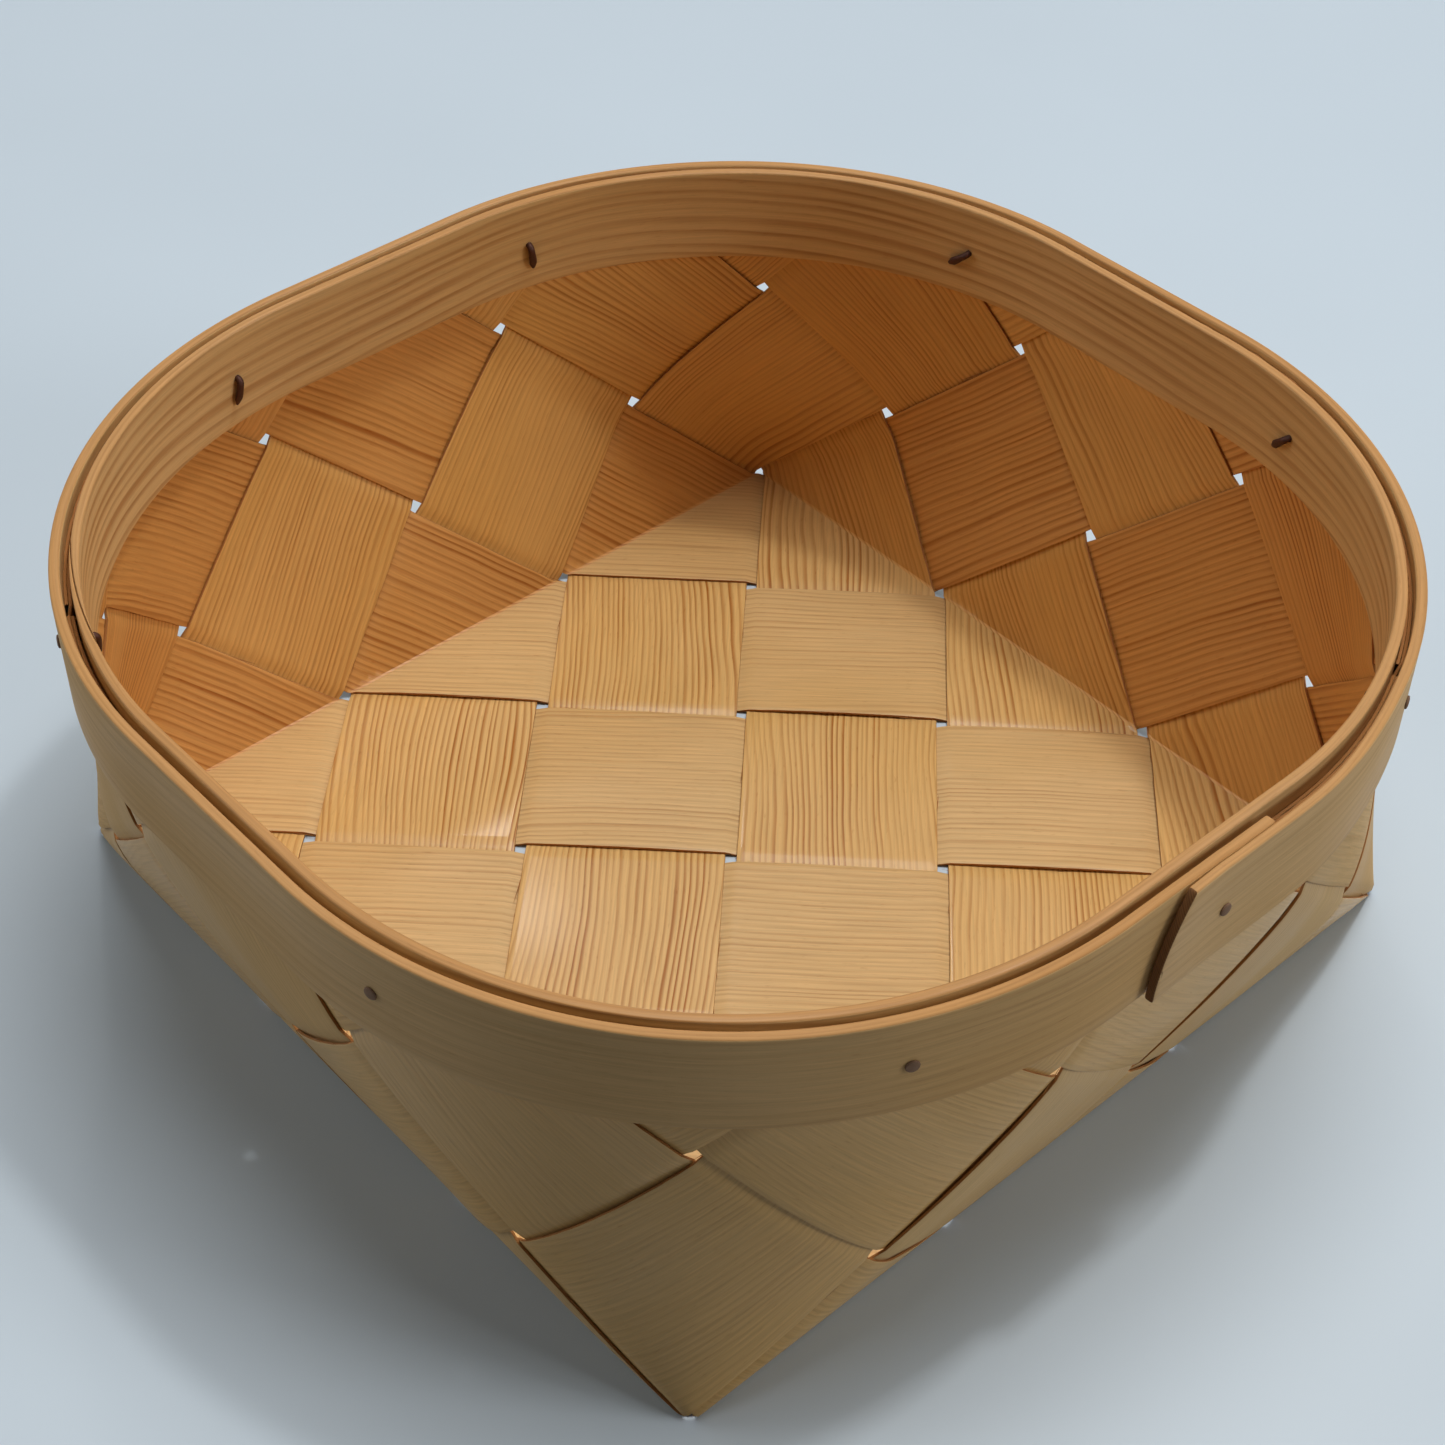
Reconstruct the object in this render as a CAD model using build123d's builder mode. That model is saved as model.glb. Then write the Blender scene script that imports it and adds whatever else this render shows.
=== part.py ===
"""Plaited pine-splint basket: twelve woven splints, two rim hoops and their clinched nails.

The base is a square set diagonally to the splints. Each splint crosses the base, folds on the
diagonal at the base edge and climbs the wall at 45 degrees, over one and under one, until it
ends between the inner and the outer rim hoop. Millimetres, +Z up, base on Z = 0, sides square
to X and Y.
"""

import os
from math import cos, pi, sin, sqrt

from build123d import *

# Splints and weave
SPLINTS_PER_WAY = 6
SPLINT_WIDTH = 42.6
SPLINT_THICK = 0.6
WEAVE_GAP = 2.4
WALL_ROWS = 3
CELL_FACETS = 4

# Wall and rim
RIM_HEIGHT = 94.0
FLARE_EASE = 1.5
HOOP_HEIGHT = 22.0
HOOP_THICK = 1.8
SPLINT_INSET = 1.2
LAP_LENGTH = 26.0
LAP_SLANT = 7.0
LAP_MARGIN = 9.0
SCARF_LENGTH = 30.0
RAMP_SPANS = 6
LAP_ANGLE = 0.0
SCARF_ANGLE = 270.0

# Nails
NAIL_DIA = 1.5
HEAD_DIA = 2.6
HEAD_THICK = 0.5
CLINCH_LENGTH = 6.0
CLINCH_GAP = 0.3
NAIL_PAST_RAMP = 5.0
FRONT_NAIL_SHIFT = -1.6
RIGHT_NAIL_SHIFT = 14.2
BACK_NAIL_SHIFT = 7.2
LEFT_NAIL_SHIFT = 10.2

# Clearances
LAYER_GAP = 0.1
RIM_FIT = 0.35
LAP_FIT = 0.1
NAIL_FIT = 0.05

# Sizes that follow
PITCH = SPLINT_WIDTH + WEAVE_GAP
FACET = SPLINT_WIDTH / CELL_FACETS
CROSSING_STEP = PITCH / sqrt(2)
LANES = SPLINTS_PER_WAY // 2
BASE_REACH = LANES * PITCH
BASE_HALF = BASE_REACH / sqrt(2)
SPLINT_REACH = (LANES + WALL_ROWS) * PITCH
MID_Z = SPLINT_THICK + LAYER_GAP / 2
LAYER_OFFSET = (SPLINT_THICK + LAYER_GAP) / 2
SPLINT_TOP = RIM_HEIGHT - SPLINT_INSET
HOOP_BOTTOM = RIM_HEIGHT - HOOP_HEIGHT
FULL_GIRTH_Z = HOOP_BOTTOM - FACET / sqrt(2)
NAIL_Z = RIM_HEIGHT - HOOP_HEIGHT / 2
RIM_FLAT = LAP_LENGTH + 2 * LAP_MARGIN
RIM_RADIUS = (4 * BASE_HALF - 2 * RIM_FLAT) / pi
RIM_HALF = RIM_FLAT / 2 + RIM_RADIUS
HOOP_INNER = LAYER_GAP / 2 + SPLINT_THICK + RIM_FIT
HOOP_OUTER = HOOP_INNER + HOOP_THICK
LAP_RISE = HOOP_THICK + LAP_FIT
LAP_END = LAP_LENGTH / 2
TONGUE_TOP = LAP_END - LAP_SLANT / 2
TONGUE_FOOT = LAP_END + LAP_SLANT / 2
TONGUE = LAP_END + TONGUE_FOOT
RAMP_NAIL = 2 * CROSSING_STEP
RAMP_END = RAMP_NAIL - NAIL_PAST_RAMP
LAP_RAMP = RAMP_END - LAP_END
SCARF_NAIL = 2 * CROSSING_STEP
FRONT_NAIL = 2 * CROSSING_STEP + FRONT_NAIL_SHIFT
RIGHT_NAIL = CROSSING_STEP + RIGHT_NAIL_SHIFT
BACK_NAIL = CROSSING_STEP + BACK_NAIL_SHIFT
LEFT_NAIL = CROSSING_STEP + LEFT_NAIL_SHIFT
RAMP_CLEAR = 2 * LAP_RISE + LAP_RAMP**2 / RIM_RADIUS / 8
BEND_RADIUS = NAIL_DIA / 2 + CLINCH_GAP
TINY = 1e-6


def corner_radius(z):
    """Corner radius of the wall at height z: sharp at the base, full one facet below the hoops."""
    share = min(1.0, (z - MID_Z) / (FULL_GIRTH_Z - MID_Z))
    return RIM_RADIUS * (1 - (1 - share) ** FLARE_EASE)


def outline(s, radius):
    """Point and outward direction on a wall row of constant girth.

    s runs along the row from the middle of the +Y side towards +X.
    """
    flat = BASE_HALF - radius * pi / 4
    hand = 1 if s >= 0 else -1
    past = abs(s) - flat
    if past <= TINY:
        return Vector(s, flat + radius), Vector(0, 1)
    turn = past / radius
    if turn < pi / 2:
        normal = Vector(hand * sin(turn), cos(turn))
        return Vector(hand * flat, flat) + normal * radius, normal
    rest = past - radius * pi / 2
    return Vector(hand * (flat + radius), flat - rest), Vector(hand, 0)


def splint_point(across, along, lift):
    """Point of a splint, from its place in the flat weave.

    across is measured from the base centre to the side of the splint, along runs down its
    length, and lift is the distance from the middle of the weave towards the inside.
    """
    x = (across - abs(along)) / sqrt(2)
    y = (across + abs(along)) / sqrt(2)
    climb = (across + abs(along) - BASE_REACH) / (SPLINT_REACH - BASE_REACH)
    z = MID_Z + lift
    if climb > -TINY:
        row_z = MID_Z + (SPLINT_TOP - MID_Z) * climb
        point, normal = outline(x, corner_radius(row_z))
        x, y, _ = point - normal * lift
        z = row_z if climb > TINY else row_z + lift
    return (x, y, z) if along >= 0 else (y, x, z)


def splint_facets(lane):
    """Triangles of a splint's mid sheet, each corner as (across, along, lift)."""
    end_cell = LANES + WALL_ROWS - 1 - lane
    edge_cells = (LANES - 1 - lane, end_cell, lane - LANES, -1 - end_cell)
    columns = [lane * PITCH + WEAVE_GAP / 2 + k * FACET for k in range(CELL_FACETS + 1)]
    rows = []
    for cell in range(-1 - end_cell, end_cell + 1):
        lift = LAYER_OFFSET if (lane + cell) % 2 == 0 else -LAYER_OFFSET
        for k in range(CELL_FACETS + 1):
            rows.append((cell, cell * PITCH + WEAVE_GAP / 2 + k * FACET, lift))
    facets = []
    for (cell, start, low), (_, stop, high) in zip(rows, rows[1:]):
        for left, right in zip(columns, columns[1:]):
            a, b = (left, start, low), (right, start, low)
            c, d = (right, stop, high), (left, stop, high)
            if (cell < 0) == (cell in edge_cells):
                facets += [(a, b, c), (a, c, d)]
            else:
                facets += [(a, b, d), (b, c, d)]
    return [f for f in facets if max(p[0] + abs(p[1]) for p in f) < SPLINT_REACH + TINY]


def splint_blank(lane):
    """One splint of the given lane, counted out from the base centre, before its nail holes."""
    facets = splint_facets(lane)
    edges = {(f[k], f[(k + 1) % 3]) for f in facets for k in range(3)}
    rims = [(a, b) for a, b in edges if (b, a) not in edges]

    def skin(corner, side):
        across, along, lift = corner
        return splint_point(across, along, lift + side * SPLINT_THICK / 2)

    faces = []
    for facet in facets:
        for side in (-1, 1):
            faces.append(Face(Wire.make_polygon([skin(corner, side) for corner in facet])))
    for a, b in rims:
        low_a, low_b, high_a, high_b = skin(a, -1), skin(b, -1), skin(a, 1), skin(b, 1)
        faces.append(Face(Wire.make_polygon([low_a, low_b, high_b])))
        faces.append(Face(Wire.make_polygon([low_a, high_b, high_a])))
    return Solid(Shell(faces)).clean()


def rim_point(s, offset):
    """Plan point on the rim, s counted from the middle of the +X side towards +Y."""
    point, normal = outline(s, RIM_RADIUS)
    x, y, _ = point + normal * offset
    return y, x


def ramp_point(share, offset):
    """Plan point on the outer hoop's ramp, from its high end at 0 to its foot at 1."""
    rise = LAP_RISE * (1 + cos(pi * share)) / 2
    return rim_point(LAP_END + LAP_RAMP * share, offset + rise)


def scarf_point(share, side):
    """Plan point beside the inner hoop's scarf line, which crosses its thickness."""
    depth = HOOP_OUTER + LAP_FIT - (HOOP_THICK + 2 * LAP_FIT) * share
    return rim_point((share - 1 / 2) * SCARF_LENGTH - SCARF_NAIL, side - depth)


def turned(plane, angle):
    """The plane carried round the basket's axis by an angle in degrees."""
    return Plane(Rotation(0, 0, angle) * plane.location)


def nail_plane(angle, s):
    """Frame of a nail: X outward through the hoops, Y down, Z along the rim."""
    x, y = rim_point(s, 0)
    _, normal = outline(s, RIM_RADIUS)
    plane = Plane((x, y, NAIL_Z), x_dir=(normal.Y, normal.X, 0), z_dir=(-normal.X, normal.Y, 0))
    return turned(plane, angle)


# Nails as (angle of the side they are in, distance from its middle, lean of the clinched leg)
NAIL_PLACES = [
    (LAP_ANGLE, 0.0, -6.0),
    (LAP_ANGLE, RAMP_NAIL, 17.0),
    (90.0, -RIGHT_NAIL, 43.0),
    (90.0, RIGHT_NAIL, 50.0),
    (180.0, -BACK_NAIL, -6.0),
    (180.0, BACK_NAIL, 14.0),
    (SCARF_ANGLE, -SCARF_NAIL, -11.0),
    (270.0, LEFT_NAIL, -20.0),
    (LAP_ANGLE, -FRONT_NAIL, -6.0),
]
NAIL_PLANES = [nail_plane(angle, s) for angle, s, _ in NAIL_PLACES]
HOLE_DEPTH = 4 * (HOOP_OUTER + LAP_RISE)


def cut_nail_holes():
    """Bores for the nail shanks in the open part."""
    with Locations(*[plane.location * Rotation(0, 90, 0) for plane in NAIL_PLANES]):
        Cylinder(NAIL_DIA / 2 + NAIL_FIT, HOLE_DEPTH, mode=Mode.SUBTRACT)


os.makedirs("parts", exist_ok=True)

# Splints: each lane's blank is used four times, a quarter turn apart
for lane in range(LANES):
    blank = splint_blank(lane)
    for turn in range(4):
        with BuildPart() as splint:
            add(blank, rotation=(0, 0, 90 * turn))
            cut_nail_holes()
        way = "warp" if turn % 2 == 0 else "weft"
        number = LANES + 1 + lane if turn < 2 else LANES - lane
        splint.part.label = f"{way}_splint_{number}"
        export_step(splint.part, f"parts/{splint.part.label}.step")

# Outer hoop: its end ramps out and laps over its start, and the free end is cut on a slant
with BuildPart() as outer_hoop:
    with BuildSketch(turned(Plane.XY.offset(HOOP_BOTTOM), LAP_ANGLE)):
        outside, inside = RIM_HALF + HOOP_OUTER, RIM_HALF + HOOP_INNER
        RectangleRounded(2 * outside, 2 * outside, RIM_RADIUS + HOOP_OUTER)
        RectangleRounded(2 * inside, 2 * inside, RIM_RADIUS + HOOP_INNER, mode=Mode.SUBTRACT)
        with BuildLine():
            Polyline(
                rim_point(LAP_END, -RAMP_CLEAR),
                rim_point(LAP_END, RAMP_CLEAR),
                rim_point(RAMP_END, RAMP_CLEAR),
                rim_point(RAMP_END, -RAMP_CLEAR),
                close=True,
            )
        make_face(mode=Mode.SUBTRACT)
        with BuildLine():
            under = Spline(*[ramp_point(k / RAMP_SPANS, HOOP_INNER) for k in range(RAMP_SPANS + 1)])
            over = Spline(*[ramp_point(k / RAMP_SPANS, HOOP_OUTER) for k in range(RAMP_SPANS + 1)])
            Line(under @ 0, over @ 0)
            Line(under @ 1, over @ 1)
        make_face()
        with Locations(((outside + inside) / 2 + LAP_RISE, LAP_END - TONGUE / 2)):
            Rectangle(HOOP_THICK, TONGUE)
    extrude(amount=HOOP_HEIGHT)
    with BuildSketch(turned(Plane.YZ.offset(inside + LAP_RISE), LAP_ANGLE)):
        with BuildLine():
            Polyline(
                (-TONGUE_FOOT, HOOP_BOTTOM),
                (-TONGUE_FOOT, RIM_HEIGHT),
                (-TONGUE_TOP, RIM_HEIGHT),
                close=True,
            )
        make_face()
    extrude(amount=HOOP_THICK, mode=Mode.SUBTRACT)
    cut_nail_holes()
outer_hoop.part.label = "outer_hoop"
export_step(outer_hoop.part, "parts/outer_hoop.step")

# Inner hoop: its two ends are pared thin and meet flush in a scarf
with BuildPart() as inner_hoop:
    with BuildSketch(turned(Plane.XY.offset(HOOP_BOTTOM), SCARF_ANGLE)):
        outside, inside = RIM_HALF - HOOP_INNER, RIM_HALF - HOOP_OUTER
        RectangleRounded(2 * outside, 2 * outside, RIM_RADIUS - HOOP_INNER)
        RectangleRounded(2 * inside, 2 * inside, RIM_RADIUS - HOOP_OUTER, mode=Mode.SUBTRACT)
        with BuildLine():
            near = Spline(*[scarf_point(k / RAMP_SPANS, -LAP_FIT / 2) for k in range(RAMP_SPANS + 1)])
            far = Spline(*[scarf_point(k / RAMP_SPANS, LAP_FIT / 2) for k in range(RAMP_SPANS + 1)])
            Line(near @ 0, far @ 0)
            Line(near @ 1, far @ 1)
        make_face(mode=Mode.SUBTRACT)
    extrude(amount=HOOP_HEIGHT)
    cut_nail_holes()
inner_hoop.part.label = "inner_hoop"
export_step(inner_hoop.part, "parts/inner_hoop.step")

# Nails: head on the outside, point turned down over the inner hoop and leaning along the rim
for number, ((angle, s, lean), plane) in enumerate(zip(NAIL_PLACES, NAIL_PLANES), start=1):
    head_seat = HOOP_OUTER + NAIL_FIT
    if s == 0 and angle == LAP_ANGLE:
        head_seat += LAP_RISE
    with BuildPart() as nail:
        with BuildLine(Plane(plane.location * Rotation(lean, 0, 0))) as shank:
            FilletPolyline(
                (head_seat + HEAD_THICK / 2, 0),
                (-HOOP_OUTER - BEND_RADIUS, 0),
                (-HOOP_OUTER - BEND_RADIUS, CLINCH_LENGTH),
                radius=BEND_RADIUS,
            )
        with BuildSketch(Plane(shank.line @ 0, z_dir=shank.line % 0)):
            Circle(NAIL_DIA / 2)
        sweep()
        head_plane = Plane(plane.from_local_coords((head_seat, 0, 0)), z_dir=plane.x_dir)
        with BuildSketch(head_plane):
            Circle(HEAD_DIA / 2)
        extrude(amount=HEAD_THICK)
    nail.part.label = f"nail_{number}"
    export_step(nail.part, f"parts/{nail.part.label}.step")
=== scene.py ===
"""Look of a plaited pine-splint basket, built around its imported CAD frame.

Twelve shaved pine splints cross the base, fold up at its edges and climb the wall on the slant.
Their ends are held between two bent rim hoops by clinched wire nails. Sizes are in millimetres
until a mesh is finished, and metres from there.
"""

import logging
import random
from dataclasses import dataclass, field
from enum import Enum
from functools import cached_property
from math import cos, pi, radians, sin, sqrt

import bmesh
import bpy
from mathutils import Matrix, Vector, noise


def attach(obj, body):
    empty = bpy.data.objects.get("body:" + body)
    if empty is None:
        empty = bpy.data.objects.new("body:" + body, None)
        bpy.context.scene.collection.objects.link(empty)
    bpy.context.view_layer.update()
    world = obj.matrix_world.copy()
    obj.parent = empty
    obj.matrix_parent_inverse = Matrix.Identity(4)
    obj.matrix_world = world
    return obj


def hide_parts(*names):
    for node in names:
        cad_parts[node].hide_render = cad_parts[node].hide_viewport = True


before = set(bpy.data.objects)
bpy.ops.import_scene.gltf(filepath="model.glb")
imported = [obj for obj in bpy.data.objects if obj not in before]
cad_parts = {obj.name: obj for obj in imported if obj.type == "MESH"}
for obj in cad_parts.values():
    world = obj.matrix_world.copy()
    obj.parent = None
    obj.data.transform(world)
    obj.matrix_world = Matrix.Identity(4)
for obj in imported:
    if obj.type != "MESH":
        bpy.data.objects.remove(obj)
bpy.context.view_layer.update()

LOG = logging.getLogger("basket")
MM = 0.001
UV_MM = 100.0
GRAIN_MAP = "Grain"
# Share of the wall at a place: it sets the line strength, the dull outside and the painted warm glow
# inside
WALL_SHARE = "wall_share"
SHADE_ANGLE = 38
CUT_SLACK = 1e-5
# How far the grain map moves, across and along, from one piece to the next
GRAIN_STEP = (2.3, 1.1)
# A level of the noise between its grid planes, where it is always 0
NOISE_LEVEL = 0.37


class Way(Enum):
    """Which way a splint runs through the weave."""

    WARP = "warp"
    WEFT = "weft"


class RimSide(Enum):
    """Which side of the splint ends a hoop lies on; the value points outward."""

    OUTER = 1
    INNER = -1


def linear(hex_colour: str) -> tuple[float, float, float, float]:
    """Turn an sRGB hex colour into linear RGBA.

    Args:
        hex_colour: Six hex digits with a leading hash.

    Returns:
        The four linear values, with alpha 1.
    """
    parts = [int(hex_colour[k : k + 2], 16) / 255 for k in (1, 3, 5)]
    red, green, blue = [c / 12.92 if c <= 0.04045 else ((c + 0.055) / 1.055) ** 2.4 for c in parts]
    return red, green, blue, 1.0


def add_node(
    tree: bpy.types.NodeTree,
    kind: str,
    links: dict | None = None,
    out: int | str = 0,
    **settings,
) -> bpy.types.NodeSocket | None:
    """Add a shader node with its settings and inputs.

    Args:
        tree: Node tree that gets the node.
        kind: Node type, without the leading ShaderNode.
        links: Input name or index to a fixed value, or to the socket that feeds it.
        out: Name or index of the output that is wanted.
        settings: Properties of the node itself.

    Returns:
        That output of the new node, or None where it has no outputs.
    """
    node = tree.nodes.new("ShaderNode" + kind)
    for name, value in settings.items():
        setattr(node, name, value)
    for socket, source in (links or {}).items():
        if isinstance(source, bpy.types.NodeSocket):
            tree.links.new(source, node.inputs[socket])
        else:
            node.inputs[socket].default_value = source
    return node.outputs[out] if node.outputs else None


def new_material(name: str) -> bpy.types.Material:
    """Start a material with an empty node tree."""
    material = bpy.data.materials.new(name)
    material.use_nodes = True
    material.node_tree.nodes.clear()
    return material


def smooth(low: float, high: float, value: float) -> float:
    """Smooth step of value from 0 at low to 1 at high."""
    t = min(1.0, max(0.0, (value - low) / (high - low)))
    return t * t * (3 - 2 * t)


def wander(place: float, span: float, seed: float) -> float:
    """Soft random line between about -1 and 1 that changes over span."""
    return noise.noise(Vector((place / span, seed, NOISE_LEVEL)))


@dataclass(frozen=True)
class Cloud:
    """Soft noise drawn out along the grain, in millimetres across and along it.

    Low and high are the noise values between which it takes effect.
    """

    across: float
    along: float
    detail: float
    low: float = 0.0
    high: float = 1.0


# The slow and the quick wander of the ring lines, and where the lines fade
SWEEP = Cloud(60, 170, 1)
RIPPLE = Cloud(24, 30, 1)
FADE = Cloud(16, 70, 2, low=0.3, high=0.7)
# Blotches of warmer wood and of planed, shinier wood
TONE = Cloud(60, 150, 2, low=0.3, high=0.7)
PLANED = Cloud(26, 60, 1, low=0.38, high=0.62)
# Fibres and short resin flecks, drawn a little coarser than real so that they show
FIBRE = Cloud(0.4, 16, 3, low=0.25, high=0.75)
FLECK = Cloud(0.5, 3.2, 2, low=0.62, high=0.76)
CLOUDS = (SWEEP, RIPPLE, FADE, TONE, PLANED, FIBRE, FLECK)
# Shares of a ring over which its late wood darkens, and over which it ends
LATE_RISE = (0.25, 0.80)
LATE_FALL = (0.80, 0.98)


@dataclass(frozen=True)
class Pine:
    """Shaved or bent pine: pale early wood with darker late-wood lines along the grain.

    Colours are sRGB hex, lengths millimetres. Contrast is the strength of the lines on the base,
    wall_contrast on the inside of the wall and outer_contrast on its outside. The wall tint is a
    painted warm glow on the inside of the wall, painted light that stands in for light bounced
    between the walls and shining through the thin pine. Polish is the weight of the planed
    surface's clear shine. Pairs are the values at the two ends of what they name.
    """

    name: str
    early: str
    late: str
    warm: str
    ring: float
    contrast: float
    wall_contrast: float
    outer_contrast: float
    drift: float
    ripple: float
    slant: float
    roughness: float
    polish: float = 0.0
    painted_glow: str = "#ffffff"
    uneven_span: float = 6.5
    uneven_rings: float = 1.5
    line_depth: tuple[float, float] = (0.55, 1.0)
    line_fade: tuple[float, float] = (0.32, 1.0)
    fleck_depth: float = 0.22
    warm_share: float = 0.75
    fibre_shade: tuple[float, float] = (0.88, 1.09)
    line_height: float = 0.5
    bump: float = 0.35
    bump_depth: float = 0.12
    planed_gloss: tuple[float, float] = (-0.12, 0.10)
    outer_dull: float = 0.2
    specular: float = 0.3
    polish_roughness: float = 0.13

    def material(self) -> bpy.types.Material:
        """Make the finish.

        Returns:
            A material that reads the piece's own grain map.
        """
        material = new_material(self.name)
        tree = material.node_tree
        grain = add_node(tree, "UVMap", uv_map=GRAIN_MAP)
        place = add_node(tree, "VectorMath", {0: grain, 3: UV_MM}, operation="SCALE")
        across = add_node(tree, "SeparateXYZ", {0: place}, out=0)
        along = across.node.outputs[1]
        soft = {}
        for cloud in CLOUDS:
            spans = (1 / cloud.across, 1 / cloud.along, 1.0)
            shrunk = add_node(tree, "Mapping", {0: place, "Scale": spans})
            links = {"Vector": shrunk, "Scale": 1.0, "Detail": cloud.detail}
            soft[cloud] = add_node(tree, "TexNoise", links)

        # Ring lines run aslant, drift, ripple, and are not evenly spaced
        line = across
        for source, size in (
            (along, self.slant),
            (soft[SWEEP], 2 * self.drift),
            (soft[RIPPLE], 2 * self.ripple),
        ):
            line = add_node(tree, "Math", {0: source, 1: size, 2: line}, operation="MULTIPLY_ADD")
        count = add_node(tree, "Math", {0: line, 1: self.ring}, operation="DIVIDE")
        slow = add_node(tree, "Math", {0: line, 1: self.uneven_span}, operation="DIVIDE")
        uneven = add_node(tree, "TexNoise", {"W": slow, "Scale": 1.0}, noise_dimensions="1D")
        links = {0: uneven, 1: self.uneven_rings, 2: count}
        count = add_node(tree, "Math", links, operation="MULTIPLY_ADD")
        share = add_node(tree, "Math", {0: count}, operation="FRACT")
        ring = add_node(tree, "Math", {0: count}, operation="FLOOR")
        depth = add_node(tree, "TexWhiteNoise", {"W": ring}, noise_dimensions="1D")

        # Late wood darkens slowly through a ring, ends sharply, and differs from ring to ring
        on_wall = add_node(tree, "Attribute", out="Fac", attribute_name=WALL_SHARE)
        late = None
        for source, (low, high), (start, stop) in (
            (share, LATE_RISE, (0.0, 1.0)),
            (share, LATE_FALL, (1.0, 0.0)),
            (depth, (0.0, 1.0), self.line_depth),
            (soft[FADE], (FADE.low, FADE.high), self.line_fade),
        ):
            links = {0: source, 1: low, 2: high, 3: start, 4: stop}
            factor = add_node(tree, "MapRange", links, interpolation_type="SMOOTHSTEP")
            if late is not None:
                factor = add_node(tree, "Math", {0: late, 1: factor}, operation="MULTIPLY")
            late = factor
        inside = add_node(tree, "MapRange", {0: on_wall, 3: self.contrast, 4: self.wall_contrast})
        outside = add_node(tree, "MapRange", {0: on_wall, 1: 0.0, 2: -1.0})
        strength = add_node(tree, "MapRange", {0: outside, 3: inside, 4: self.outer_contrast})
        links = {0: soft[FLECK], 1: FLECK.low, 2: FLECK.high, 3: 0.0, 4: self.fleck_depth}
        dark = add_node(tree, "MapRange", links)
        dark = add_node(tree, "Math", {0: late, 1: strength, 2: dark}, operation="MULTIPLY_ADD")
        links = {0: soft[TONE], 1: TONE.low, 2: TONE.high, 3: 0.0, 4: self.warm_share}
        tone = add_node(tree, "MapRange", links)
        links = {0: tone, 6: linear(self.early), 7: linear(self.warm)}
        pale = add_node(tree, "Mix", links, out=2, data_type="RGBA")
        links = {0: dark, 6: pale, 7: linear(self.late)}
        lined = add_node(tree, "Mix", links, out=2, data_type="RGBA")
        dim, bright = self.fibre_shade
        links = {0: soft[FIBRE], 1: FIBRE.low, 2: FIBRE.high, 3: dim, 4: bright}
        shade = add_node(tree, "MapRange", links)
        # Painted glow: the inside of the wall is tinted warmer, painted light that stands in for light
        # bounced between the walls and shining through the thin pine
        links = {0: on_wall, 6: lined, 7: linear(self.painted_glow)}
        lined = add_node(tree, "Mix", links, out=2, data_type="RGBA", blend_type="MULTIPLY")
        tint = add_node(tree, "VectorMath", {0: lined, 3: shade}, operation="SCALE")

        # Late wood stands a little proud, planed blotches shine and the outside of the wall is dull
        links = {0: late, 1: self.line_height, 2: soft[FIBRE]}
        height = add_node(tree, "Math", links, operation="MULTIPLY_ADD")
        links = {"Strength": self.bump, "Distance": self.bump_depth * MM, "Height": height}
        bump = add_node(tree, "Bump", links)
        shiny, dull = (self.roughness + change for change in self.planed_gloss)
        links = {0: soft[PLANED], 1: PLANED.low, 2: PLANED.high, 3: shiny, 4: dull}
        gloss = add_node(tree, "MapRange", links)
        links = {0: outside, 1: self.outer_dull, 2: gloss}
        gloss = add_node(tree, "Math", links, operation="MULTIPLY_ADD")
        shader = add_node(
            tree,
            "BsdfPrincipled",
            {
                "Base Color": tint,
                "Roughness": gloss,
                "Specular IOR Level": self.specular,
                "Coat Weight": self.polish,
                "Coat Roughness": self.polish_roughness,
                "Normal": bump,
            },
        )
        add_node(tree, "OutputMaterial", {0: shader})
        return material


# Shaved pine with strong, wandering late-wood lines on the base: a striped honey surface
WARP_PINE = Pine(
    "shaved_pine_warp",
    early="#dfb97b",
    late="#9e5c0d",
    warm="#d6aa62",
    ring=1.45,
    contrast=1.0,
    wall_contrast=0.75,
    outer_contrast=0.25,
    drift=13.0,
    ripple=0.9,
    slant=0.03,
    roughness=0.44,
    polish=0.30,
    # painted warm glow on the inside of the wall
    painted_glow="#fff0d6",
)
# Shaved pine: pale on the base with faint close lines, which are drawn stronger where it climbs the
# wall
WEFT_PINE = Pine(
    "shaved_pine_weft",
    early="#d9b883",
    late="#985b16",
    warm="#d0a86b",
    ring=1.60,
    contrast=0.45,
    wall_contrast=0.9,
    outer_contrast=0.25,
    drift=6.0,
    ripple=0.8,
    slant=0.01,
    roughness=0.44,
    # painted warm glow on the inside of the wall
    painted_glow="#ffe2bc",
)
# Bent pine band: clear, even lines that run round with the rim
HOOP_PINE = Pine(
    "bent_pine_hoop",
    early="#d7b480",
    late="#a16c36",
    warm="#cda468",
    ring=2.7,
    contrast=0.85,
    wall_contrast=0.85,
    outer_contrast=0.28,
    drift=8.0,
    ripple=0.8,
    slant=0.0,
    roughness=0.45,
)
# Torn long edge of a splint: a thin dark line, partly the darker torn fibres and partly painted shade
# of the gap beside it
SHADED_EDGE_PINE = Pine(
    "torn_pine_edge_and_shade",
    early="#b57f48",
    late="#75421b",
    warm="#a36a35",
    ring=0.7,
    contrast=0.8,
    wall_contrast=0.8,
    outer_contrast=0.8,
    drift=2.0,
    ripple=0.4,
    slant=0.0,
    roughness=0.7,
)
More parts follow.
